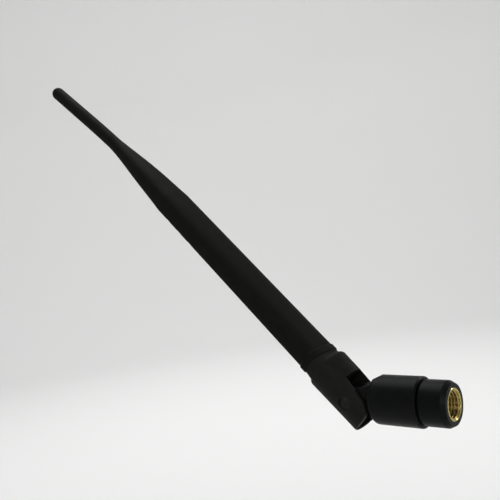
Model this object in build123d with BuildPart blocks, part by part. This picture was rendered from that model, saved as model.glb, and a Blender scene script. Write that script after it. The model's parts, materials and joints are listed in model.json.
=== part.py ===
from build123d import *
import os
from math import cos, degrees, pi, radians, sin, sqrt, tan

# Whip antenna with a folding hinge and a screw-on coaxial plug, in millimetres.
# The origin is at the first thread inside the coupling nut, +X points out of the nut's mouth
# along the plug's axis, +Y runs along the hinge pins and +Z is up.
# The whip stands at its middle detent, rest_tilt up from the straight position.

os.makedirs("parts", exist_ok=True)

# Whip: lengths are measured along its centre line from the hinge axis
rest_tilt = 45.0
whip_length = 148.8
blade_width = 10.6
blade_thickness = 6.4
blade_squareness = 3.4
blade_end = 77.0
flare_length = 33.0
flare_shares = (0, 0.21, 0.44, 0.75, 1)
rod_d = 4.25
sheath_wall = 0.85
rod_bore_d = 2.4
bore_start_inset = 2.5
tip_wall = 6.0
rim_length = 2.0
rim_height = 0.22
rim_chamfer = 0.3
droop_start = 84.0
droop_length = 40.0
droop_radius = 450.0

# Hinge fork and its pins
fork_top_d = 11.0
fork_taper = 0.35
fork_top = 10.4
fork_top_radius = 1.2
fork_end = 5.5
fork_end_radius = 0.4
ear_height = 4.15
ear_end_height = 2.7
ear_end_radius = 3.0
neck_length = 1.55
neck_shares = (0.1, 0.2, 0.07, 0)
spigot_length = 10.0
spigot_chamfer = 0.5
channel_width = 6.6
channel_depth = 3.85
back_wall_inside = 3.9
pin_d = 2.0
pin_head_d = 3.0
pin_head_length = 0.6
pin_recess = 0.2
funnel = 0.5

# Barrel and its tongue
barrel_step = 0.08
shoulder_gap = 0.3
shoulder_radius = 1.2
fold_relief_radius = 5.0
fold_relief_length = 2.9
fold_relief_rise = 0.05
barrel_edge = 0.35
barrel_end_wall = 2.9
cavity_step = 0.3
tongue_d = 6.0
ramp_start = 3.4
ramp_angle = 18.0
tongue_root_fillet = 0.35
cable_pocket = 2.6
lip_length = 2.3

# Plug: coupling nut with its moulded grip
pivot_to_face = 24.0
mouth_chamfer = 0.3
nut_length = 6.4
grip_wall = 1.5
grip_front_chamfer = 1.1
grip_face_step = 0.55
grip_rear_chamfer = 0.4
nut_wall = 0.62
thread_bore_d = 5.76
thread_length = 3.1
relief_depth = 0.37
relief_length = 1.5
seam_gap = 0.15

# Plug: body, contact, insulator and the small rings
ferrule_d = 4.58
ferrule_wall = 0.24
insulator_length = 5.0
gasket_width = 0.26
spigot_d = 6.6
snap_height = 0.45
snap_length = 1.0
boss_d = 4.4
boss_length = 1.0
stub_length = 2.2
solder_bore_d = 1.9
solder_space = 2.0
contact_d = 1.27
contact_bore_d = 0.95
contact_bore_depth = 2.6
contact_slot = 0.2
contact_tail = 1.5
gasket_thickness = 0.45
ring_thickness = 0.35
ring_groove_depth = 0.35
ring_seat_depth = 0.4
ring_split = 1.5
crimp_wall = 0.475
crimp_space = 0.4
crimp_chamfer = 0.2

# Cable and the dipole inside the whip
cable_d = 1.8
core_d = 0.84
cable_bend = 6.0
feed_core_length = 2.0
sleeve_d = 4.0
sleeve_wall = 0.25
sleeve_start = 44.0
sleeve_length = 25.0
cap_thickness = 0.5
bush_length = 2.0
bush_inset = 0.3
spacer_length = 3.0
spacer_inset = 2.0
shrink_wall = 0.25
shrink_length = 5.0
wire_d = 1.0
wire_end_gap = 1.5
bead_length = 2.0
bead_inset = 1.2

# Clearances
press_gap = 0.01
running_gap = 0.05
slip_gap = 0.05
cable_gap = 0.1
hinge_gap = 0.1
seat_gap = 0.15

# Diameters that follow from the walls and steps
nut_d = thread_bore_d + 2 * nut_wall
grip_d = nut_d + 2 * grip_wall
relief_d = thread_bore_d + 2 * relief_depth
insulator_d = ferrule_d - 2 * ferrule_wall
neck_d = ferrule_d + 2 * gasket_width
ring_groove_d = neck_d - 2 * ring_groove_depth
ring_seat_d = neck_d + 2 * ring_seat_depth
snap_d = spigot_d + 2 * snap_height
barrel_cavity_d = spigot_d - 2 * cavity_step
barrel_d = fork_top_d + 2 * barrel_step
fork_end_d = fork_top_d - 2 * fork_taper
stub_d = cable_d
crimp_bore_d = stub_d + slip_gap
crimp_d = crimp_bore_d + 2 * crimp_wall

# Places along the plug's axis
face_x = mouth_chamfer
pivot_x = face_x - pivot_to_face
nut_rear_x = face_x - nut_length
barrel_front_x = nut_rear_x - seam_gap
thread_end_x = -thread_length
relief_end_x = thread_end_x - relief_length
ferrule_front_x = thread_end_x - seat_gap
gasket_seat_x = relief_end_x - seat_gap
ring_front_x = (gasket_seat_x + nut_rear_x + ring_thickness) / 2
ring_rear_x = ring_front_x - ring_thickness
snap_x = barrel_front_x - lip_length - running_gap
boss_x = snap_x - snap_length
stub_x = boss_x - boss_length
stub_end_x = stub_x - stub_length
cable_start_x = stub_end_x - running_gap
insulator_end_x = ferrule_front_x - insulator_length
solder_end_x = insulator_end_x - solder_space
contact_end_x = insulator_end_x - contact_tail
undercut_end_x = boss_x - running_gap
shoulder_x = pivot_x + fork_end + shoulder_gap
cavity_end_x = shoulder_x + barrel_end_wall
crimp_end_x = cavity_end_x + crimp_space

# Places along the whip
neck_start = fork_top - fork_top_radius
neck_end = fork_top + neck_length
sheath_start = neck_end + slip_gap
rod_start = blade_end + flare_length
bore_start = rod_start - bore_start_inset
bore_end = whip_length - tip_wall
droop_end = droop_start + droop_length
sleeve_end = sleeve_start + sleeve_length
cable_end = sleeve_end + cap_thickness + 4 * slip_gap
wire_start = cable_end + feed_core_length
wire_end = bore_end - wire_end_gap

# Places across the hinge
root_x = shoulder_x + barrel_end_wall / 2
relief_centre_z = barrel_d / 2 + fold_relief_rise - fold_relief_radius
tongue_width = channel_width - 2 * hinge_gap
fork_radius = fork_end_d / 2 + fork_taper * fork_end / (fork_end + fork_top)
pin_face = sqrt(fork_radius**2 - pin_head_d**2 / 4) - pin_recess
head_seat = pin_face - pin_head_length
pin_length = pin_face - cable_pocket / 2 - seat_gap

# Directions of the whip at rest
pivot = Vector(pivot_x, 0, 0)
whip_way = Vector(-cos(radians(rest_tilt)), 0, sin(radians(rest_tilt)))
fold_way = Vector(sin(radians(rest_tilt)), 0, cos(radians(rest_tilt)))
side_plane = Plane(origin=pivot, x_dir=whip_way, z_dir=(0, 1, 0))


def station(distance):
    """Plane square to the whip's centre line, with its x along the hinge pins."""
    turn = min(max(distance - droop_start, 0), droop_length) / droop_radius
    beyond = max(distance - droop_end, 0)
    along = min(distance, droop_start) + droop_radius * sin(turn) + beyond * cos(turn)
    aside = droop_radius * (1 - cos(turn)) + beyond * sin(turn)
    origin = pivot + whip_way * along - fold_way * aside
    return Plane(origin=origin, x_dir=(0, 1, 0), z_dir=whip_way * cos(turn) - fold_way * sin(turn))


def blade_outline(distance, inset, share=0.0, end_radius=0.0):
    """The blade's outline at a station, moved in by inset and blended by share to a circle."""
    half_width = (1 - share) * (blade_width / 2 - inset) + share * end_radius
    half_thickness = (1 - share) * (blade_thickness / 2 - inset) + share * end_radius
    power = (1 - share) * blade_squareness + share * 2
    points = []
    for step in range(24):
        angle = 2 * pi * (step + 0.5) / 24
        reach = (abs(cos(angle)) ** power + abs(sin(angle)) ** power) ** (-1 / power)
        points.append((half_width * reach * cos(angle), half_thickness * reach * sin(angle)))
    with BuildSketch(station(distance)) as outline:
        with BuildLine():
            Spline(points, periodic=True)
        make_face()
    return outline.sketch


def blade_length(start, end, inset, mode=Mode.ADD):
    """A straight length with the blade's outline, moved in by inset."""
    extrude(blade_outline(start, inset), amount=end - start, mode=mode)


def blend(start, end, shares, inset, end_radius, mode=Mode.ADD):
    """A stretch that goes between the blade's outline and a circle by the given shares."""
    outlines = []
    for number, share in enumerate(shares):
        distance = start + (end - start) * number / (len(shares) - 1)
        outlines.append(blade_outline(distance, inset, share, end_radius))
    loft(outlines, mode=mode)


def rod_along(start, end, diameter, mode=Mode.ADD):
    """A round rod that follows the whip's centre line."""
    with BuildLine(side_plane) as path:
        if start < droop_start:
            Line((start, 0), (min(end, droop_start), 0))
        if end > droop_start:
            first = degrees(max(start - droop_start, 0) / droop_radius)
            last = degrees(min(end - droop_start, droop_length) / droop_radius)
            bend = CenterArc((droop_start, -droop_radius), droop_radius, 90 - first, first - last)
            if end > droop_end:
                Line(bend @ 1, (bend @ 1) + (bend % 1) * (end - droop_end))
    with BuildSketch(station(start)) as section:
        Circle(diameter / 2)
    sweep(section.sketch, path=path.line, mode=mode)


def ring_on_whip(start, length, outer_d, inner_d):
    """A round disc or tube with a bore, square to the whip's centre line."""
    with BuildSketch(station(start)) as section:
        Circle(outer_d / 2)
        Circle(inner_d / 2, mode=Mode.SUBTRACT)
    extrude(section.sketch, amount=length)


def stepped_pin(way):
    """A hinge pin put in from one side, with its head in the fork's recess."""
    with BuildSketch(side_plane.offset(way * pin_face)) as head:
        Circle(pin_head_d / 2)
    extrude(head.sketch, amount=-way * pin_head_length)
    with BuildSketch(side_plane.offset(way * pin_face)) as shank:
        Circle(pin_d / 2)
    extrude(shank.sketch, amount=-way * pin_length)


# Coupling nut: threaded mouth, relief for the mating plug, rear web with a ring groove
with BuildPart() as coupling_nut:
    with BuildSketch(Plane.XZ):
        with BuildLine():
            Polyline(
                (face_x, nut_d / 2),
                (face_x, thread_bore_d / 2 + mouth_chamfer),
                (0, thread_bore_d / 2),
                (thread_end_x, thread_bore_d / 2),
                (thread_end_x, relief_d / 2),
                (relief_end_x, relief_d / 2),
                (relief_end_x, neck_d / 2 + running_gap),
                (ring_front_x + slip_gap, neck_d / 2 + running_gap),
                (ring_front_x + slip_gap, ring_seat_d / 2),
                (ring_rear_x - slip_gap, ring_seat_d / 2),
                (ring_rear_x - slip_gap, neck_d / 2 + running_gap),
                (nut_rear_x + slip_gap, neck_d / 2 + running_gap),
                (nut_rear_x + slip_gap, nut_d / 2),
                close=True,
            )
        make_face()
    revolve(axis=Axis.X)
coupling_nut.part.label = "coupling_nut"
export_step(coupling_nut.part, "parts/coupling_nut.step")

# Moulded grip round the nut
with BuildPart() as nut_grip:
    with BuildSketch(Plane.XZ):
        with BuildLine():
            Polyline(
                (face_x - slip_gap, nut_d / 2 + press_gap),
                (face_x - slip_gap, grip_d / 2 - grip_face_step),
                (face_x - grip_front_chamfer, grip_d / 2),
                (nut_rear_x + grip_rear_chamfer, grip_d / 2),
                (nut_rear_x, grip_d / 2 - grip_rear_chamfer),
                (nut_rear_x, nut_d / 2 + press_gap),
                close=True,
            )
        make_face()
    revolve(axis=Axis.X)
    rims = nut_grip.edges().filter_by(GeomType.CIRCLE).sort_by(SortBy.RADIUS)[-2:]
    fillet(rims.sort_by(Axis.X)[-1], grip_front_chamfer / 2)
nut_grip.part.label = "nut_grip"
export_step(nut_grip.part, "parts/nut_grip.step")

# Plug body: outer contact, gasket seat, neck in the nut, swivel spigot with its snap flange
with BuildPart() as connector_body:
    with BuildSketch(Plane.XZ):
        with BuildLine():
            Polyline(
                (ferrule_front_x, insulator_d / 2),
                (ferrule_front_x, ferrule_d / 2),
                (gasket_seat_x, ferrule_d / 2),
                (gasket_seat_x, neck_d / 2),
                (ring_front_x + slip_gap, neck_d / 2),
                (ring_front_x + slip_gap, ring_groove_d / 2),
                (ring_rear_x - slip_gap, ring_groove_d / 2),
                (ring_rear_x - slip_gap, neck_d / 2),
                (barrel_front_x, neck_d / 2),
                (barrel_front_x, spigot_d / 2),
                (snap_x, spigot_d / 2),
                (snap_x, snap_d / 2),
                (boss_x + snap_length / 2, snap_d / 2),
                (boss_x, spigot_d / 2),
                (boss_x, boss_d / 2),
                (stub_x, boss_d / 2),
                (stub_x, stub_d / 2),
                (stub_end_x, stub_d / 2),
                (stub_end_x, core_d / 2 + slip_gap / 2),
                (solder_end_x, core_d / 2 + slip_gap / 2),
                (solder_end_x, solder_bore_d / 2),
                (insulator_end_x, solder_bore_d / 2),
                (insulator_end_x, insulator_d / 2),
                close=True,
            )
        make_face()
    revolve(axis=Axis.X)
connector_body.part.label = "connector_body"
export_step(connector_body.part, "parts/connector_body.step")

# Insulator between the outer contact and the centre contact
with BuildPart() as insulator:
    with BuildSketch(Plane.YZ.offset(ferrule_front_x)):
        Circle(insulator_d / 2 - press_gap)
        Circle(contact_d / 2 + press_gap, mode=Mode.SUBTRACT)
    extrude(amount=-insulator_length)
insulator.part.label = "insulator"
export_step(insulator.part, "parts/insulator.step")

# Centre contact: a slotted socket in front and a solder tail behind
with BuildPart() as centre_contact:
    with BuildSketch(Plane.YZ.offset(ferrule_front_x)):
        Circle(contact_d / 2)
    extrude(amount=contact_end_x - ferrule_front_x)
    with BuildSketch(Plane.YZ.offset(ferrule_front_x)):
        Circle(contact_bore_d / 2)
        Rectangle(contact_slot, 2 * contact_d)
        Rectangle(2 * contact_d, contact_slot)
    extrude(amount=-contact_bore_depth, mode=Mode.SUBTRACT)
centre_contact.part.label = "centre_contact"
export_step(centre_contact.part, "parts/centre_contact.step")

# Soft gasket against the mating jack
with BuildPart() as gasket_ring:
    with BuildSketch(Plane.YZ.offset(gasket_seat_x)):
        Circle(neck_d / 2)
        Circle(ferrule_d / 2 + press_gap, mode=Mode.SUBTRACT)
    extrude(amount=gasket_thickness)
gasket_ring.part.label = "gasket_ring"
export_step(gasket_ring.part, "parts/gasket_ring.step")

# Split ring that holds the nut on the neck
with BuildPart() as retaining_ring:
    with BuildSketch(Plane.YZ.offset(ring_front_x)):
        Circle(ring_seat_d / 2 - running_gap)
        Circle(ring_groove_d / 2 + slip_gap, mode=Mode.SUBTRACT)
        Rectangle(ring_split, ring_seat_d, align=(Align.CENTER, Align.MAX), mode=Mode.SUBTRACT)
    extrude(amount=-ring_thickness)
retaining_ring.part.label = "retaining_ring"
export_step(retaining_ring.part, "parts/retaining_ring.step")

# Crimp tube over the stub and the end of the cable
with BuildPart() as crimp_ferrule:
    with BuildSketch(Plane.YZ.offset(stub_x)):
        Circle(crimp_d / 2)
        Circle(crimp_bore_d / 2, mode=Mode.SUBTRACT)
    extrude(amount=crimp_end_x - stub_x)
    rear_rims = crimp_ferrule.edges().filter_by(GeomType.CIRCLE).group_by(Axis.X)[0]
    chamfer(rear_rims.sort_by(SortBy.RADIUS)[-1], crimp_chamfer)
crimp_ferrule.part.label = "crimp_ferrule"
export_step(crimp_ferrule.part, "parts/crimp_ferrule.step")

# Stripped end of the cable from the crimp to the centre contact
with BuildPart() as plug_core:
    with BuildSketch(Plane.YZ.offset(contact_end_x)):
        Circle(core_d / 2)
    extrude(amount=cable_start_x - contact_end_x)
plug_core.part.label = "plug_core"
export_step(plug_core.part, "parts/plug_core.step")

# Barrel: a turned outline with a snap lip and a cavity, and the hinge tongue on its rear
with BuildPart() as barrel:
    with BuildSketch(Plane.XZ):
        with BuildLine():
            Polyline(
                (shoulder_x, barrel_d / 2 - shoulder_radius),
                (shoulder_x, 0),
                (cavity_end_x, 0),
                (cavity_end_x, barrel_cavity_d / 2),
                (undercut_end_x, barrel_cavity_d / 2),
                (undercut_end_x, snap_d / 2 + running_gap),
                (snap_x + running_gap, snap_d / 2 + running_gap),
                (snap_x + running_gap, spigot_d / 2 + running_gap),
                (barrel_front_x, spigot_d / 2 + running_gap),
                (barrel_front_x, barrel_d / 2 - barrel_edge),
                (barrel_front_x - barrel_edge, barrel_d / 2),
                (shoulder_x + shoulder_radius, barrel_d / 2),
            )
            CenterArc(
                (shoulder_x + shoulder_radius, barrel_d / 2 - shoulder_radius),
                shoulder_radius,
                90,
                90,
            )
        make_face()
    revolve(axis=Axis.X)
    with BuildSketch(Plane.XZ):
        with Locations((shoulder_x + fold_relief_length, barrel_d / 2)):
            Rectangle(2 * fold_relief_length, fold_relief_radius, align=(Align.MAX, Align.CENTER))
        with Locations((shoulder_x + fold_relief_length, relief_centre_z)):
            Circle(fold_relief_radius, mode=Mode.SUBTRACT)
    extrude(amount=barrel_d, both=True, mode=Mode.SUBTRACT)
    with BuildSketch(Plane.XZ.offset(-tongue_width / 2)):
        with Locations((pivot_x, 0)):
            Circle(tongue_d / 2)
            Rectangle(root_x - pivot_x, tongue_d, align=(Align.MIN, Align.CENTER))
        with BuildLine():
            Polyline(
                (pivot_x + ramp_start, tongue_d / 2),
                (root_x, tongue_d / 2 + (root_x - pivot_x - ramp_start) * tan(radians(ramp_angle))),
                (root_x, 0),
                (pivot_x + ramp_start, 0),
                close=True,
            )
        make_face()
    extrude(amount=tongue_width)
    new_edges = barrel.edges(Select.LAST)
    root_edges = new_edges.filter_by_position(Axis.X, shoulder_x - press_gap, cavity_end_x)
    fillet(root_edges, tongue_root_fillet)
    with BuildSketch(Plane.YZ.offset(cavity_end_x)):
        Circle(cable_d / 2 + cable_gap)
    extrude(amount=pivot_x - cavity_end_x, mode=Mode.SUBTRACT)
    with BuildSketch(Plane.XZ.offset(-cable_pocket / 2)):
        with Locations((pivot_x + cable_pocket, -cable_pocket / 2)):
            Rectangle(tongue_d + cable_pocket, tongue_d, align=(Align.MAX, Align.MIN))
    extrude(amount=cable_pocket, mode=Mode.SUBTRACT)
    with BuildSketch(Plane.XZ.offset(-tongue_width)):
        with Locations((pivot_x, 0)):
            Circle(pin_d / 2 + running_gap)
    extrude(amount=2 * tongue_width, mode=Mode.SUBTRACT)
barrel.part.label = "barrel"
export_step(barrel.part, "parts/barrel.step")

# Fork: a round shell with a rounded top, a neck like the blade and a spigot for the sheath
with BuildPart() as fork:
    with BuildSketch(side_plane):
        with BuildLine():
            Polyline(
                (fork_top, 0),
                (-fork_end, 0),
                (-fork_end, fork_end_d / 2),
                (fork_top, fork_top_d / 2),
                close=True,
            )
        make_face()
    revolve(axis=Axis(origin=pivot, direction=whip_way))
    rims = fork.edges().filter_by(GeomType.CIRCLE).sort_by(SortBy.RADIUS)
    fillet(rims[-1], fork_top_radius)
    fillet(rims[0], fork_end_radius)
    blend(neck_start, neck_end, neck_shares, 0, fork_top_d / 2)
    blade_length(neck_start, neck_end + spigot_length, sheath_wall + slip_gap)
    spigot_rim = fork.edges().sort_by(Axis(origin=pivot, direction=whip_way))[-1]
    chamfer(spigot_rim, spigot_chamfer)
    with BuildSketch(side_plane):
        with Locations((channel_depth, -back_wall_inside)):
            Rectangle(3 * fork_end, 3 * fork_end, align=(Align.MAX, Align.MIN))
    extrude(amount=channel_width / 2, both=True, mode=Mode.SUBTRACT)
    ear_end = -fork_end - press_gap
    with BuildSketch(side_plane):
        with BuildLine():
            FilletPolyline(
                (channel_depth, ear_height),
                (ear_end, ear_end_height),
                (ear_end, -ear_end_radius),
                radius=ear_end_radius,
            )
            Polyline(
                (ear_end, -ear_end_radius),
                (2 * ear_end, -ear_end_radius),
                (2 * ear_end, fork_top_d),
                (channel_depth, fork_top_d),
                (channel_depth, ear_height),
            )
        make_face()
    extrude(amount=fork_end_d, both=True, mode=Mode.SUBTRACT)
    with BuildSketch(station(0)):
        Circle(cable_d / 2 + cable_gap)
    extrude(amount=neck_end + 2 * spigot_length, mode=Mode.SUBTRACT)
    with BuildSketch(station(channel_depth)):
        Circle(cable_d / 2 + cable_gap + funnel)
    extrude(amount=funnel, taper=45, mode=Mode.SUBTRACT)
    with BuildSketch(side_plane):
        Circle(pin_d / 2 + press_gap)
    extrude(amount=fork_end_d, both=True, mode=Mode.SUBTRACT)
    with BuildSketch(side_plane.offset(head_seat)):
        Circle(pin_head_d / 2 + press_gap)
    extrude(amount=fork_end_d, mode=Mode.SUBTRACT)
    with BuildSketch(side_plane.offset(-head_seat)):
        Circle(pin_head_d / 2 + press_gap)
    extrude(amount=-fork_end_d, mode=Mode.SUBTRACT)
fork.part.label = "fork"
export_step(fork.part, "parts/fork.step")

# Stepped hinge pins, pressed into the fork from outside
with BuildPart() as hinge_pin_left:
    stepped_pin(1)
hinge_pin_left.part.label = "hinge_pin_left"
export_step(hinge_pin_left.part, "parts/hinge_pin_left.step")

with BuildPart() as hinge_pin_right:
    stepped_pin(-1)
hinge_pin_right.part.label = "hinge_pin_right"
export_step(hinge_pin_right.part, "parts/hinge_pin_right.step")

# Sheath: blade with a rim at its mouth, flare, rod with a round tip, hollow nearly to the end
with BuildPart() as whip_sheath:
    blade_length(sheath_start, blade_end, 0)
    rim_outlines = [
        blade_outline(sheath_start, -rim_height / 3),
        blade_outline(sheath_start + rim_chamfer, -rim_height),
        blade_outline(sheath_start + rim_length - rim_chamfer, -rim_height),
        blade_outline(sheath_start + rim_length, 0),
    ]
    loft(rim_outlines, ruled=True)
    blend(blade_end, rod_start, flare_shares, 0, rod_d / 2 + press_gap)
    rod_along(bore_start, whip_length, rod_d)
    tip_rim = whip_sheath.edges().filter_by(GeomType.CIRCLE).sort_by(Axis.X)[0]
    fillet(tip_rim, rod_d / 2 - press_gap)
    blade_length(sheath_start, blade_end, sheath_wall, Mode.SUBTRACT)
    bore_radius = rod_bore_d / 2
    blend(blade_end, bore_start, flare_shares, sheath_wall, bore_radius + press_gap, Mode.SUBTRACT)
    rod_along(bore_start - bore_start_inset, bore_end, rod_bore_d, Mode.SUBTRACT)
whip_sheath.part.label = "whip_sheath"
export_step(whip_sheath.part, "parts/whip_sheath.step")

# Thin brass sleeve round the cable, with its cap and its bush
with BuildPart() as dipole_sleeve:
    ring_on_whip(sleeve_start, sleeve_length, sleeve_d, sleeve_d - 2 * sleeve_wall)
dipole_sleeve.part.label = "dipole_sleeve"
export_step(dipole_sleeve.part, "parts/dipole_sleeve.step")

with BuildPart() as sleeve_cap:
    ring_on_whip(sleeve_end, cap_thickness, sleeve_d, cable_d + 2 * slip_gap)
sleeve_cap.part.label = "sleeve_cap"
export_step(sleeve_cap.part, "parts/sleeve_cap.step")

with BuildPart() as sleeve_bush:
    bush_d = sleeve_d - 2 * sleeve_wall - 2 * slip_gap
    ring_on_whip(sleeve_start + bush_inset, bush_length, bush_d, cable_d + 2 * slip_gap)
sleeve_bush.part.label = "sleeve_bush"
export_step(sleeve_bush.part, "parts/sleeve_bush.step")

# Plastic spacers that keep the sleeve central in the sheath
lower_spacer_start = sleeve_start + spacer_inset
with BuildPart() as lower_spacer:
    blade_length(lower_spacer_start, lower_spacer_start + spacer_length, sheath_wall + slip_gap)
    with BuildSketch(station(lower_spacer_start)):
        Circle(sleeve_d / 2 + slip_gap)
    extrude(amount=spacer_length, mode=Mode.SUBTRACT)
lower_spacer.part.label = "lower_spacer"
export_step(lower_spacer.part, "parts/lower_spacer.step")

upper_spacer_start = sleeve_end - spacer_length
with BuildPart() as upper_spacer:
    blade_length(upper_spacer_start, sleeve_end, sheath_wall + slip_gap)
    with BuildSketch(station(upper_spacer_start)):
        Circle(sleeve_d / 2 + slip_gap)
    extrude(amount=spacer_length, mode=Mode.SUBTRACT)
upper_spacer.part.label = "upper_spacer"
export_step(upper_spacer.part, "parts/upper_spacer.step")

# Cable end with its heat-shrink, the radiator wire and two beads that keep the wire central
with BuildPart() as feed_core:
    rod_along(cable_end, wire_start, core_d)
feed_core.part.label = "feed_core"
export_step(feed_core.part, "parts/feed_core.step")

with BuildPart() as heat_shrink:
    shrink_bore_d = cable_d + 2 * slip_gap
    shrink_start = sleeve_end + cap_thickness + slip_gap
    ring_on_whip(shrink_start, shrink_length, shrink_bore_d + 2 * shrink_wall, shrink_bore_d)
heat_shrink.part.label = "heat_shrink"
export_step(heat_shrink.part, "parts/heat_shrink.step")

with BuildPart() as radiator_wire:
    rod_along(wire_start, wire_end, wire_d)
radiator_wire.part.label = "radiator_wire"
export_step(radiator_wire.part, "parts/radiator_wire.step")

bead_d = rod_bore_d - 2 * slip_gap
with BuildPart() as lower_bead:
    ring_on_whip(rod_start, bead_length, bead_d, wire_d + slip_gap)
lower_bead.part.label = "lower_bead"
export_step(lower_bead.part, "parts/lower_bead.step")

with BuildPart() as upper_bead:
    ring_on_whip(wire_end - bead_inset - bead_length, bead_length, bead_d, wire_d + slip_gap)
upper_bead.part.label = "upper_bead"
export_step(upper_bead.part, "parts/upper_bead.step")

# Coaxial cable from the crimp through the hinge to the dipole, bent at the hinge
with BuildPart() as coax_cable:
    bend_start_x = pivot_x + cable_bend * tan(radians(rest_tilt / 2))
    with BuildLine(Plane.XZ) as cable_path:
        Line((cable_start_x, 0), (bend_start_x, 0))
        bend = CenterArc((bend_start_x, cable_bend), cable_bend, 270, -rest_tilt)
        Line(bend @ 1, station(cable_end).origin)
    with BuildSketch(Plane.YZ.offset(cable_start_x)):
        Circle(cable_d / 2)
    sweep(path=cable_path.line)
coax_cable.part.label = "coax_cable"
export_step(coax_cable.part, "parts/coax_cable.step")
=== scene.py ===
import json
import math

import bmesh
import bpy
from mathutils import Matrix, Vector


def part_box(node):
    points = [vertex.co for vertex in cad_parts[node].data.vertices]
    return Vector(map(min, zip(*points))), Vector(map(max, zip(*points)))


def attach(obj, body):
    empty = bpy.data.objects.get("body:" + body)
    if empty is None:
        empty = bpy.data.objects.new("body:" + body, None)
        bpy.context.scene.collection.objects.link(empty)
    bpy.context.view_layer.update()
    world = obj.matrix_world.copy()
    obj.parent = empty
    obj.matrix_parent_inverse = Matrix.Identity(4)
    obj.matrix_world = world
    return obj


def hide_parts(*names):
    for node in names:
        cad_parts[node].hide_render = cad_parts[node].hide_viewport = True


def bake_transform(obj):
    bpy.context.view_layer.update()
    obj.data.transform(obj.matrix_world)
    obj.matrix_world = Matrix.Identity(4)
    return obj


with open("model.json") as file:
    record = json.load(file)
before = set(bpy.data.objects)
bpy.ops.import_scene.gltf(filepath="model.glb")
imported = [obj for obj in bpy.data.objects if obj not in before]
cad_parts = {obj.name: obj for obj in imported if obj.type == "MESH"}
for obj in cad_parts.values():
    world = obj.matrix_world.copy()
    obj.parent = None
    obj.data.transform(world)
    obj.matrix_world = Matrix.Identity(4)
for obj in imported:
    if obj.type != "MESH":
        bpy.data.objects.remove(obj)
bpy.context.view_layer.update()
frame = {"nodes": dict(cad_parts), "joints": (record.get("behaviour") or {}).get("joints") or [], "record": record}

MM = 0.001
nodes = frame["nodes"]


def low_high(node):
    """A node's lowest and highest corner, in millimetres."""
    low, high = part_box(node)
    return low / MM, high / MM


# Places and sizes of the CAD nodes, in millimetres
tilt_joint = next(joint for joint in frame["joints"] if joint["name"] == "tilt")
PIVOT_X = tilt_joint["pos_m"][0] / MM
REST_TILT = math.radians(-tilt_joint["range_deg"][0])
NUT_LOW, NUT_HIGH = low_high("coupling_nut")
GASKET_LOW, GASKET_HIGH = low_high("gasket_ring")
RING_LOW, RING_HIGH = low_high("retaining_ring")
CABLE_LOW, CABLE_HIGH = low_high("coax_cable")

# Thread of the gold nut, in millimetres: its bore is the mount
MOUNT_DIMS = frame["record"]["mounts"][0]["dims"]
THREAD_MINOR_R = MOUNT_DIMS["r_mm"]
THREAD_LENGTH = MOUNT_DIMS["length_mm"]
THREAD_DEPTH = 0.29
THREAD_MAJOR_R = THREAD_MINOR_R + THREAD_DEPTH
INCH = 25.4
THREADS_PER_INCH = 36
THREAD_PITCH = INCH / THREADS_PER_INCH
CREST_SHARE, FLANK_SHARE = 0.25, 0.6
# Depth behind the mouth over which the painted shade in the thread roots fades in
MOUTH_DEPTH = 0.3

# Rest of the gold nut, in millimetres: its web and ring groove follow the pieces in it
RUNNING_GAP, SEAT_GAP = 0.05, 0.15
RELIEF_DEPTH = 0.37
NUT_EDGE = 0.1
FACE_X, NUT_REAR_X, NUT_R = NUT_HIGH.x, NUT_LOW.x, NUT_HIGH.z
RELIEF_R = THREAD_MINOR_R + RELIEF_DEPTH
RELIEF_END_X = GASKET_LOW.x + SEAT_GAP
WEB_R = GASKET_HIGH.z + RUNNING_GAP
SEAT_R = RING_HIGH.z + RUNNING_GAP
SEAT_FRONT_X, SEAT_REAR_X = RING_HIGH.x + RUNNING_GAP, RING_LOW.x - RUNNING_GAP
NUT_COLUMNS = 128
ROWS_PER_TURN = 16

# The cable, in millimetres
CABLE_R = CABLE_HIGH.y
CABLE_BEND_R = 6.0
CABLE_START_X = CABLE_HIGH.x
CABLE_END = (PIVOT_X - CABLE_LOW.x - CABLE_R * math.sin(REST_TILT)) / math.cos(REST_TILT)
CABLE_COLUMNS = 24
START_STEPS, BEND_STEPS, END_STEPS = 12, 16, 24

# Camera: fitted to the photograph, in millimetres from the origin
CAMERA_AT = (54.131, -119.524, 37.150)
CAMERA_RIGHT = (0.74568, 0.65370, -0.12899)
CAMERA_UP = (0.09892, 0.08283, 0.99164)
CAMERA_BACK = (0.65892, -0.75221, -0.00290)
FOCAL_PIXELS, IMAGE_PIXELS = 600.0, 500.0
SENSOR_WIDTH = 36
NEAREST_SEEN = 5

# Stage, in metres: a pale floor well below the held antenna, turned up into a round wall
FLOOR_Z, FLOOR_R, WALL_BEND_R, WALL_TOP_Z = -0.17, 1.2, 0.6, 1.0
FLOOR_MIDDLE_R = FLOOR_R / 2
STAGE_COLUMNS = 128
STAGE_BEND_STEPS = 24
STAGE_COLOUR, STAGE_ROUGHNESS, STAGE_SPECULAR = (0.80, 0.80, 0.79), 0.95, 0.1

# Square lamps, in metres and watts: name, place, aim, side and power
LAMPS = [
    ("top_box", (-0.45, 0.25, 1.10), (-0.05, 0, 0), 0.9, 6),
    ("mouth_box", (0.28, 0.62, 0.38), (0, 0, 0), 0.16, 1.0),
    ("wall_box", (-0.35, 0.40, 0.90), (-1.2, 1.35, 0.1), 0.9, 7),
    ("fill_box", (0.55, -0.85, 0.55), (-0.05, 0, 0.03), 0.8, 4),
    ("front_wall_box", (0.35, -0.40, 0.90), (1.2, -1.35, 0.1), 0.9, 4),
]
SKY_COLOUR, SKY_STRENGTH = (0.95, 0.97, 1), 0.28

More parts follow.
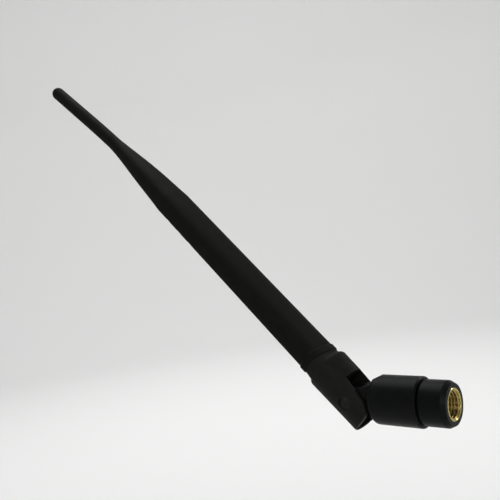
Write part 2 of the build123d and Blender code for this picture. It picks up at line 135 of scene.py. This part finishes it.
# Surfaces: noise scales per metre, levels of detail, and the depth of the fine relief in millimetres
PATCH_START, PATCH_END = 0.3, 0.7
NOISE_ROUGHNESS = 0.5
GRAIN_DETAIL = 3
PLASTIC_PATCHES, PLASTIC_DETAIL = 400, 4
PLASTIC_GRAIN, PLASTIC_GRAIN_ROUGHNESS = 3500, 0.6
PLASTIC_RELIEF, PLASTIC_RELIEF_STRENGTH = 0.01, 0.6
PLASTIC_SPECULAR = 0.5
METAL_PATCHES, METAL_DETAIL = 900, 5
METAL_GRAIN = 4000
METAL_RELIEF, METAL_RELIEF_STRENGTH = 0.004, 0.5
# Colour of the painted shade in the roots of the gold thread
THREAD_ROOT_SHADE_COLOUR = (0.30, 0.19, 0.06)

# Edges that turn by more degrees than this are sharp
SHARP_ANGLE = 40


# Materials

def new_material(name):
    material = bpy.data.materials.new(name)
    material.use_nodes = True
    tree = material.node_tree
    return material, tree, tree.nodes["Principled BSDF"]


def noise(tree, scale, detail, roughness=NOISE_ROUGHNESS):
    place = tree.nodes.new("ShaderNodeTexCoord")
    texture = tree.nodes.new("ShaderNodeTexNoise")
    texture.inputs["Scale"].default_value = scale
    texture.inputs["Detail"].default_value = detail
    texture.inputs["Roughness"].default_value = roughness
    tree.links.new(place.outputs["Object"], texture.inputs["Vector"])
    return texture.outputs["Fac"]


def between(tree, factor, low, high, start=PATCH_START, end=PATCH_END):
    """A value from low to high as the factor goes from start to end."""
    spread = tree.nodes.new("ShaderNodeMapRange")
    spread.inputs["From Min"].default_value = start
    spread.inputs["From Max"].default_value = end
    spread.inputs["To Min"].default_value = low
    spread.inputs["To Max"].default_value = high
    tree.links.new(factor, spread.inputs["Value"])
    return spread.outputs["Result"]


def colour_mix(tree, factor):
    """A mix of two colours, A and B, by a factor from 0 to 1."""
    mix = tree.nodes.new("ShaderNodeMix")
    mix.data_type = "RGBA"
    tree.links.new(factor, mix.inputs["Factor"])
    return mix


def uneven(name, colour, other, roughness, patches, detail):
    """A new material whose patches go from one colour and gloss to another."""
    material, tree, shader = new_material(name)
    tone = noise(tree, patches, detail)
    mix = colour_mix(tree, between(tree, tone, 0, 1))
    mix.inputs["A"].default_value = (*colour, 1)
    mix.inputs["B"].default_value = (*other, 1)
    tree.links.new(mix.outputs["Result"], shader.inputs["Base Color"])
    tree.links.new(between(tree, tone, *roughness), shader.inputs["Roughness"])
    return material, tree, shader


def bump(tree, shader, height, depth, strength):
    relief = tree.nodes.new("ShaderNodeBump")
    relief.inputs["Strength"].default_value = strength
    relief.inputs["Distance"].default_value = depth * MM
    tree.links.new(height, relief.inputs["Height"])
    tree.links.new(relief.outputs["Normal"], shader.inputs["Normal"])


def plastic(name, colour, other, roughness, specular=PLASTIC_SPECULAR):
    """Moulded plastic: uneven tone and gloss, with a fine grain."""
    material, tree, shader = uneven(name, colour, other, roughness, PLASTIC_PATCHES, PLASTIC_DETAIL)
    shader.inputs["Specular IOR Level"].default_value = specular
    grain = noise(tree, PLASTIC_GRAIN, GRAIN_DETAIL, PLASTIC_GRAIN_ROUGHNESS)
    bump(tree, shader, grain, PLASTIC_RELIEF, PLASTIC_RELIEF_STRENGTH)
    return material


def metal(name, colour, other, roughness):
    """Metal with an uneven gloss and fine marks."""
    material, tree, shader = uneven(name, colour, other, roughness, METAL_PATCHES, METAL_DETAIL)
    shader.inputs["Metallic"].default_value = 1
    bump(tree, shader, noise(tree, METAL_GRAIN, GRAIN_DETAIL), METAL_RELIEF, METAL_RELIEF_STRENGTH)
    return material


def paint_thread_shade(material, root_shade_colour):
    """Paints shade into the bore of a thread about the X axis: darker from its crests to its roots, and from the
    mouth inwards.
    """
    tree = material.node_tree
    base = tree.nodes["Principled BSDF"].inputs["Base Color"]
    place = tree.nodes.new("ShaderNodeTexCoord")
    split = tree.nodes.new("ShaderNodeSeparateXYZ")
    tree.links.new(place.outputs["Object"], split.inputs["Vector"])
    across = tree.nodes.new("ShaderNodeCombineXYZ")
    tree.links.new(split.outputs["Y"], across.inputs["Y"])
    tree.links.new(split.outputs["Z"], across.inputs["Z"])
    radius = tree.nodes.new("ShaderNodeVectorMath")
    radius.operation = "LENGTH"
    tree.links.new(across.outputs["Vector"], radius.inputs[0])
    depth = between(tree, radius.outputs["Value"], 0, 1, THREAD_MINOR_R * MM, THREAD_MAJOR_R * MM)
    inside = between(tree, split.outputs["X"], 1, 0, -MOUTH_DEPTH * MM, 0)
    # Painted shade: the thread's roots, behind the mouth, take the shade colour
    root_shade = tree.nodes.new("ShaderNodeMath")
    root_shade.operation = "MULTIPLY"
    tree.links.new(depth, root_shade.inputs[0])
    tree.links.new(inside, root_shade.inputs[1])
    mix = colour_mix(tree, root_shade.outputs["Value"])
    tree.links.new(base.links[0].from_socket, mix.inputs["A"])
    mix.inputs["B"].default_value = (*root_shade_colour, 1)
    tree.links.new(mix.outputs["Result"], base)


# Name, the two colours of the patches, the two roughnesses, and for a dark plastic its specular level
whip_black = plastic("whip_black", (0.0060, 0.0065, 0.0053), (0.0076, 0.0081, 0.0067), (0.54, 0.66), 0.04)
fork_black = plastic("fork_black", (0.0094, 0.0099, 0.0087), (0.0122, 0.0127, 0.0113), (0.50, 0.62), 0.05)
hinge_black = plastic("hinge_black", (0.0032, 0.0036, 0.0035), (0.0044, 0.0049, 0.0047), (0.34, 0.44), 0.07)
grip_black = plastic("grip_black", (0.0029, 0.0032, 0.0033), (0.0040, 0.0044, 0.0045), (0.34, 0.44), 0.07)
shrink_black = plastic("shrink_black", (0.016, 0.016, 0.016), (0.022, 0.022, 0.022), (0.55, 0.70))
white_dielectric = plastic("white_dielectric", (0.80, 0.80, 0.76), (0.72, 0.72, 0.68), (0.35, 0.45))
natural_nylon = plastic("natural_nylon", (0.66, 0.62, 0.52), (0.58, 0.54, 0.45), (0.40, 0.55))
gasket_rubber = plastic("gasket_rubber", (0.42, 0.07, 0.04), (0.34, 0.05, 0.03), (0.60, 0.75))
cable_jacket = plastic("cable_jacket", (0.17, 0.07, 0.030), (0.13, 0.05, 0.022), (0.30, 0.42))
gold_plate = metal("gold_plate", (0.68, 0.57, 0.22), (0.58, 0.46, 0.15), (0.20, 0.32))
gold_thread = metal("gold_thread", (0.50, 0.42, 0.16), (0.42, 0.33, 0.10), (0.20, 0.32))
bare_brass = metal("bare_brass", (0.72, 0.55, 0.28), (0.60, 0.45, 0.22), (0.28, 0.42))
copper_wire = metal("copper_wire", (0.72, 0.36, 0.20), (0.60, 0.28, 0.15), (0.28, 0.40))
pin_steel = metal("pin_steel", (0.030, 0.030, 0.029), (0.020, 0.020, 0.020), (0.40, 0.55))
# Painted shade in the roots of the gold thread, deeper inside the bore
paint_thread_shade(gold_thread, THREAD_ROOT_SHADE_COLOUR)

NODE_MATERIALS = {
    grip_black: ["nut_grip"],
    hinge_black: ["barrel"],
    fork_black: ["fork"],
    whip_black: ["whip_sheath"],
    gold_plate: ["coupling_nut", "connector_body", "centre_contact"],
    bare_brass: ["retaining_ring", "crimp_ferrule", "dipole_sleeve", "sleeve_cap"],
    copper_wire: ["radiator_wire"],
    pin_steel: ["hinge_pin_left", "hinge_pin_right"],
    white_dielectric: ["insulator", "plug_core", "feed_core"],
    natural_nylon: ["sleeve_bush", "lower_spacer", "upper_spacer", "lower_bead", "upper_bead"],
    gasket_rubber: ["gasket_ring"],
    cable_jacket: ["coax_cable"],
    shrink_black: ["heat_shrink"],
}

for material, names in NODE_MATERIALS.items():
    for name in names:
        nodes[name].data.materials.clear()
        nodes[name].data.materials.append(material)


# Pieces made of rings of points

def ring_angles(columns):
    """The angles of a ring's points, in radians."""
    return [2 * math.pi * column / columns for column in range(columns)]


def ring_faces(rings, columns, closed):
    """Faces between neighbouring rings; closed joins the last ring to the first."""
    faces = []
    for ring in range(rings if closed else rings - 1):
        after = (ring + 1) % rings
        for column in range(columns):
            beside = (column + 1) % columns
            faces.append((
                ring * columns + column,
                ring * columns + beside,
                after * columns + beside,
                after * columns + column,
            ))
    return faces


def mesh_piece(name, points, faces, material):
    """A smooth mesh with sharp edges, from points in millimetres."""
    mesh = bpy.data.meshes.new(name)
    mesh.from_pydata([Vector(p) * MM for p in points], [], faces)
    work = bmesh.new()
    work.from_mesh(mesh)
    bmesh.ops.recalc_face_normals(work, faces=work.faces)
    work.to_mesh(mesh)
    work.free()
    for face in mesh.polygons:
        face.use_smooth = True
    mesh.set_sharp_from_angle(angle=math.radians(SHARP_ANGLE))
    mesh.materials.append(material)
    piece = bpy.data.objects.new(name, mesh)
    bpy.context.scene.collection.objects.link(piece)
    return piece


def thread_radius(x, turn):
    """Radius of the nut's bore at x millimetres and a share of a turn, chamfer included."""
    phase = (x / THREAD_PITCH + turn) % 1
    from_crest = abs(phase - 0.5) * 2
    rise = min(max((from_crest - CREST_SHARE) / FLANK_SHARE, 0), 1)
    threaded = THREAD_MINOR_R + THREAD_DEPTH * rise
    return max(threaded, THREAD_MINOR_R + max(x, 0))


def thread_rings():
    """Rings of (x, radius) along the thread, from the nut's face to the relief."""
    length = FACE_X + THREAD_LENGTH
    steps = round(length / THREAD_PITCH * ROWS_PER_TURN)
    rings = []
    for step in range(steps + 1):
        x = FACE_X - length * step / steps
        rings.append([(x, thread_radius(x, column / NUT_COLUMNS)) for column in range(NUT_COLUMNS)])
    return rings


def threaded_nut():
    """The gold nut: a helical thread behind a chamfered mouth, a relief and a grooved rear web."""
    plain = [
        (-THREAD_LENGTH, RELIEF_R),
        (RELIEF_END_X, RELIEF_R),
        (RELIEF_END_X, WEB_R),
        (SEAT_FRONT_X, WEB_R),
        (SEAT_FRONT_X, SEAT_R),
        (SEAT_REAR_X, SEAT_R),
        (SEAT_REAR_X, WEB_R),
        (NUT_REAR_X, WEB_R),
        (NUT_REAR_X, NUT_R),
        (FACE_X - NUT_EDGE, NUT_R),
        (FACE_X, NUT_R - NUT_EDGE),
    ]
    rings = thread_rings() + [[place] * NUT_COLUMNS for place in plain]
    points = []
    for ring in rings:
        for (x, radius), angle in zip(ring, ring_angles(NUT_COLUMNS)):
            points.append((x, radius * math.cos(angle), radius * math.sin(angle)))
    return mesh_piece("threaded_nut", points, ring_faces(len(rings), NUT_COLUMNS, True), gold_thread)


nut = threaded_nut()
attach(nut, "nut")
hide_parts("coupling_nut")


def cable_centres():
    """Points (x, z, heading) along the cable: straight, bent at the hinge, and straight in the whip."""
    tangent_length = CABLE_BEND_R * math.tan(REST_TILT / 2)
    first = CABLE_START_X - (PIVOT_X + tangent_length)
    centres = []
    for step in range(START_STEPS):
        centres.append((CABLE_START_X - first * step / START_STEPS, 0.0, math.pi))
    for step in range(BEND_STEPS + 1):
        turn = REST_TILT * step / BEND_STEPS
        x = PIVOT_X + tangent_length - CABLE_BEND_R * math.sin(turn)
        z = CABLE_BEND_R * (1 - math.cos(turn))
        centres.append((x, z, math.pi - turn))
    last = CABLE_END - tangent_length
    x, z, way = centres[-1]
    for step in range(1, END_STEPS + 1):
        run = last * step / END_STEPS
        centres.append((x + run * math.cos(way), z + run * math.sin(way), way))
    return centres


def flexible_cable():
    """The cable as a closed tube, bent at the hinge at the rest tilt, with its rings close together along the
    bend.
    """
    centres = cable_centres()
    points = []
    for x, z, way in centres:
        side = Vector((-math.sin(way), 0, math.cos(way)))
        for angle in ring_angles(CABLE_COLUMNS):
            reach = side * CABLE_R * math.cos(angle)
            points.append((x + reach.x, CABLE_R * math.sin(angle), z + reach.z))
    faces = ring_faces(len(centres), CABLE_COLUMNS, False)
    faces.append(tuple(range(CABLE_COLUMNS)))
    faces.append(tuple(range(len(points) - CABLE_COLUMNS, len(points))))
    return mesh_piece("flexible_cable", points, faces, cable_jacket)


cable = flexible_cable()
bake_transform(cable)
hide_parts("coax_cable")


# Stage, light and camera

def stage_bowl():
    """A flat floor that turns up into a round wall, so that every view has a plain background."""
    profile = [(FLOOR_MIDDLE_R, FLOOR_Z)]
    for step in range(STAGE_BEND_STEPS + 1):
        turn = math.pi / 2 * step / STAGE_BEND_STEPS
        profile.append((FLOOR_R + WALL_BEND_R * math.sin(turn), FLOOR_Z + WALL_BEND_R * (1 - math.cos(turn))))
    profile.append((FLOOR_R + WALL_BEND_R, WALL_TOP_Z))
    points = []
    for radius, z in profile:
        for angle in ring_angles(STAGE_COLUMNS):
            points.append((radius * math.cos(angle) / MM, radius * math.sin(angle) / MM, z / MM))
    faces = ring_faces(len(profile), STAGE_COLUMNS, False)
    faces.append(tuple(range(STAGE_COLUMNS)))
    material, _, shader = new_material("floor_pale")
    shader.inputs["Base Color"].default_value = (*STAGE_COLOUR, 1)
    shader.inputs["Roughness"].default_value = STAGE_ROUGHNESS
    shader.inputs["Specular IOR Level"].default_value = STAGE_SPECULAR
    return mesh_piece("floor", points, faces, material)


def softbox(name, at, aim, side, power):
    """A square lamp that the camera doesn't see."""
    light = bpy.data.lights.new(name, "AREA")
    light.shape = "SQUARE"
    light.size = side
    light.energy = power
    box = bpy.data.objects.new(name, light)
    box.location = at
    box.rotation_euler = (Vector(aim) - Vector(at)).to_track_quat("-Z", "Y").to_euler()
    box.visible_camera = False
    bpy.context.scene.collection.objects.link(box)
    return box


stage_bowl()
for lamp in LAMPS:
    softbox(*lamp)

world = bpy.data.worlds.new("world")
world.use_nodes = True
sky = world.node_tree.nodes["Background"]
sky.inputs["Color"].default_value = (*SKY_COLOUR, 1)
sky.inputs["Strength"].default_value = SKY_STRENGTH
bpy.context.scene.world = world

lens = bpy.data.cameras.new("camera")
lens.sensor_width = SENSOR_WIDTH
lens.lens = SENSOR_WIDTH * FOCAL_PIXELS / IMAGE_PIXELS
lens.clip_start = NEAREST_SEEN * MM
camera = bpy.data.objects.new("camera", lens)
turned = Matrix((CAMERA_RIGHT, CAMERA_UP, CAMERA_BACK)).transposed()
camera.matrix_world = Matrix.Translation(Vector(CAMERA_AT) * MM) @ turned.to_4x4()
bpy.context.scene.collection.objects.link(camera)
bpy.context.scene.camera = camera
bpy.context.scene.view_settings.view_transform = "Standard"
